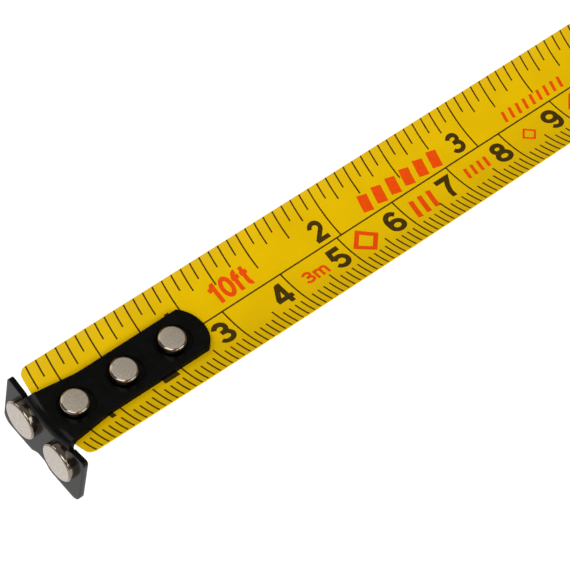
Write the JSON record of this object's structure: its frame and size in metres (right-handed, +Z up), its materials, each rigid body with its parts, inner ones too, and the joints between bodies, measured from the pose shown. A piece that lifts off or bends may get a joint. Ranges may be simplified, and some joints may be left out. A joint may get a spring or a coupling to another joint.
{
  "type": "pocket tape measure",
  "caption": "Pocket tape measure: a curved printed steel blade with a riveted magnetic end hook, drawn from a sprung reel in a two-shell case with thumb lock and belt clip.",
  "frame": {"origin": "on the flat base, straight below the reel axis, in the plane where the shells meet", "axes": "-X along the drawn-out blade towards its hook, +Y towards the shell without the belt clip (the inch side of the blade), +Z up"},
  "size_m": [0.185, 0.031, 0.0626],
  "materials": {
    "shell": "fine moulded texture",
    "grip_rubber": "matt moulded rubber",
    "screw_steel": "zinc plated",
    "label": "satin silver film",
    "clip_steel": "nickel plated spring steel",
    "spool_plastic": "natural moulded",
    "spring_steel": "blued strip",
    "blade_paint": "satin yellow lacquer",
    "hook_paint": "black lacquer",
    "nickel": "nickel plated",
    "lock_plastic": "satin moulded"
  },
  "bodies": {
    "case": {"case_left": "shell", "case_right": "shell", "grip_left": "grip_rubber", "grip_right": "grip_rubber", "case_screws": "screw_steel", "side_label": "label", "belt_clip": "clip_steel", "clip_screw": "screw_steel", "mouth_bumper": "grip_rubber", "blade_guide": "shell", "spindle": "spool_plastic", "mainspring": "spring_steel", "blade_band": "blade_paint"},
    "reel": {"reel_drum": "spool_plastic", "reel_cover": "spool_plastic", "blade_coil": "blade_paint"},
    "blade": {"blade_end": "blade_paint", "hook_rivets": "nickel"},
    "end_hook": {"hook": "hook_paint", "hook_magnets": "nickel"},
    "lock": {"lock_button": "lock_plastic", "lock_slide": "shell", "lock_spring": "spring_steel"}
  },
  "joints": [
    {"name": "reel_spin", "type": "hinge", "parent": "case", "child": "reel", "pos_m": [0, 0, 0.0343], "axis": [0, 1, 0], "range_deg": [-286.4, 0], "deforming": ["mainspring"]},
    {"name": "blade_slide", "type": "slide", "parent": "case", "child": "blade", "axis": [-1, 0, 0], "range_m": [-0.1159, 0], "deforming": ["blade_band"]},
    {"name": "hook_slide", "type": "slide", "parent": "blade", "child": "end_hook", "axis": [-1, 0, 0], "range_m": [0, 0.0008]},
    {"name": "lock_slide", "type": "slide", "parent": "case", "child": "lock", "axis": [0.4226, 0, 0.9063], "range_m": [0, 0.006]}
  ],
  "couplings": [
    {"joint": "blade_slide", "follows": "reel_spin", "m_per_rad": 0.02318}
  ]
}
